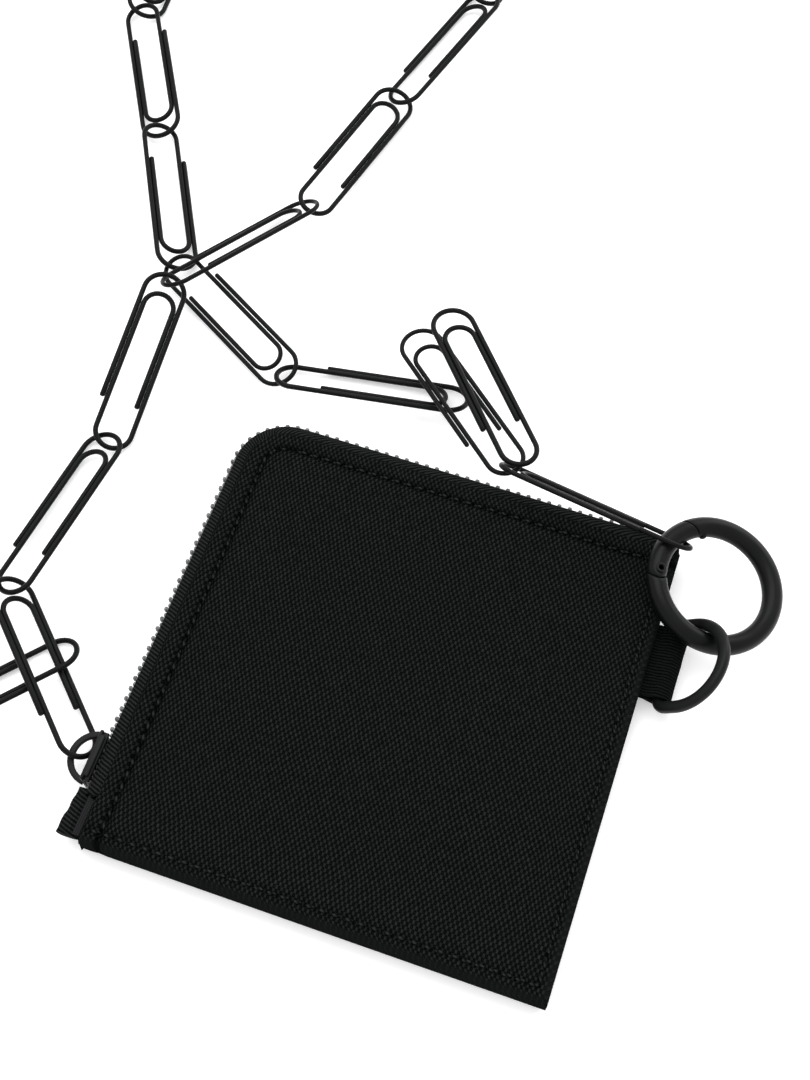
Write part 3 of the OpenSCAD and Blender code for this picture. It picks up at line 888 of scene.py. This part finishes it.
# Where each clip's narrow end and wide end lie, and how far it is rolled over, in degrees.
CHAIN = [
    ((-59.3, -37.4, 5), (-91.7, -5.9, 5.4), 36), ((-91.7, -5.9, 5.4), (-86.5, 39, 2.6), -18),
    ((-86.5, 39, 2.6), (-88, 84, 9.4), 18), ((-88, 84, 9.4), (-64, 122.5, 4.4), -34),
    ((-64, 122.5, 4.4), (-54, 166.5, 2.8), 14), ((-54, 166.5, 2.8), (-42, 210, 2.8), -20),
    ((-42, 210, 2.8), (-67, 247, 2.8), 15), ((-67, 247, 2.8), (-111, 254.5, 2.8), -20),
    ((-111, 254.5, 2.8), (-138, 218.5, 2.8), 15), ((-138, 218.5, 2.8), (-134.5, 173.5, 2.8), -20),
    ((-134.5, 173.5, 2.8), (-112, 134, 3), 15), ((-112, 134, 3), (-90.5, 94, 3), -23),
    ((-90.5, 94, 3), (-51.5, 71, 3.4), 13), ((-51.5, 71, 3.4), (-7, 78, 3.5), -25),
    ((11, 59, 12.2), (-22.6, 89.2, 8.1), -2), ((13.2, 61.2, 14.1), (-16, 95.6, 11.8), 5),
    ((55.9, 51.5, 13.9), (11, 59, 12.2), 54), ((-71.9, -15.6, 2.9), (-101.4, -49.6, 3.9), 25),
]


def half_circle(centre_x, centre_y, radius, first, last):
    angles = [math.radians(first + (last - first) * i / 18) for i in range(19)]
    return [(centre_x + radius * math.cos(a), centre_y + radius * math.sin(a), 0) for a in angles]


inner_r, narrow_r = WIDE_R - WIRE_STEP, WIDE_R - WIRE_STEP / 2
clip_path = [(FREE_END, -inner_r, 0), (FREE_END + 0.25, -inner_r, 0), (20, -inner_r, 0)]
clip_path += half_circle(CLIP_LONG - INNER_SET - inner_r, 0, inner_r, -90, 90)
clip_path += half_circle(narrow_r, -WIRE_STEP / 2, narrow_r, 90, 270)
clip_path += half_circle(CLIP_LONG - WIDE_R, 0, WIDE_R, -90, 90)
clip_path += [(20, WIDE_R, 0), (FREE_END + 0.25, WIDE_R, 0), (FREE_END, WIDE_R, 0)]
# Most clips are drawn thicker than their CAD wire, to look as bold as the real ones. The four that
# swing close over another clip keep the CAD wire, so that they clear it.
THIN_CLIPS, THIN_R, WIRE_SIDES = (4, 13, 15, 17), 0.6, 14
for number, (start, end, roll) in enumerate(CHAIN, 1):
    start, end = Vector(start), Vector(end)
    way = end - start
    radius = THIN_R if number in THIN_CLIPS else WIRE_R
    turns = [2 * math.pi * k / WIRE_SIDES for k in range(WIRE_SIDES)]
    shape = bmesh.new()
    sweep(shape, clip_path, [(radius * math.cos(turn), radius * math.sin(turn)) for turn in turns])
    shape.verts.ensure_lookup_table()
    for ring in (shape.verts[:WIRE_SIDES], shape.verts[-WIRE_SIDES:]):
        middle = sum((v.co for v in ring), Vector()) / WIRE_SIDES
        for v in ring:
            v.co = middle + (v.co - middle) * 0.75
        shape.faces.new(ring)
    lie = (
        Matrix.Translation((start + end) / 2)
        @ Matrix.Rotation(math.atan2(way.y, way.x), 4, "Z")
        @ Matrix.Rotation(-math.asin(way.z / way.length), 4, "Y")
        @ Matrix.Rotation(math.radians(roll), 4, "X")
        @ Matrix.Translation((-CLIP_LONG / 2, 0, 0))
    )
    bmesh.ops.transform(shape, verts=shape.verts, matrix=lie)
    bmesh.ops.recalc_face_normals(shape, faces=shape.faces)
    link = f"link_{number:02d}"
    new_piece("clip_" + link[-2:], shape, lacquer, link, "black_wire", link)

# ---- the table and the light ----
# A plain white table under a large soft light overhead, with a second light low at the far side. The
# table glows a little, which loses most of the shadows.
table_top, tree, shader = start_material("white table", 0.9, Specular_IOR_Level=0.1, Emission_Strength=0.3)
place = add(tree, "TexCoord").outputs["Object"]
mottle = add(tree, "TexNoise", {"Vector": place, "Scale": 3.0})
tone = add(
    tree, "Mix", {0: mottle.outputs["Fac"], 6: linear("#fafafa"), 7: linear("#ffffff")},
    data_type="RGBA",
)
tree.links.new(tone.outputs[2], shader.inputs["Base Color"])
shape = bmesh.new()
bmesh.ops.create_grid(shape, x_segments=1, y_segments=1, size=3)
mesh = bpy.data.meshes.new("table")
shape.to_mesh(mesh)
shape.free()
mesh.materials.append(table_top)
table = bpy.data.objects.new("table", mesh)
bpy.context.scene.collection.objects.link(table)

world = bpy.data.worlds.new("studio")
world.use_nodes = True
world.node_tree.nodes["Background"].inputs["Color"].default_value = (1, 1, 1, 1)
world.node_tree.nodes["Background"].inputs["Strength"].default_value = 0.95
bpy.context.scene.world = world
for name, spot, aim, size, power in (
    ("overhead", (-0.25, 0.35, 0.9), (0, 0, 0), 0.9, 6.0),
    ("far side", (0.5, 0.9, 0.45), (0, 0.05, 0), 0.6, 3.0),
):
    light = bpy.data.lights.new(name, "AREA")
    light.size = size
    light.energy = power
    lamp = bpy.data.objects.new(name, light)
    lamp.location = spot
    lamp.rotation_euler = (Vector(aim) - Vector(spot)).to_track_quat("-Z", "Y").to_euler()
    bpy.context.scene.collection.objects.link(lamp)
bpy.context.scene.view_settings.view_transform = "Standard"
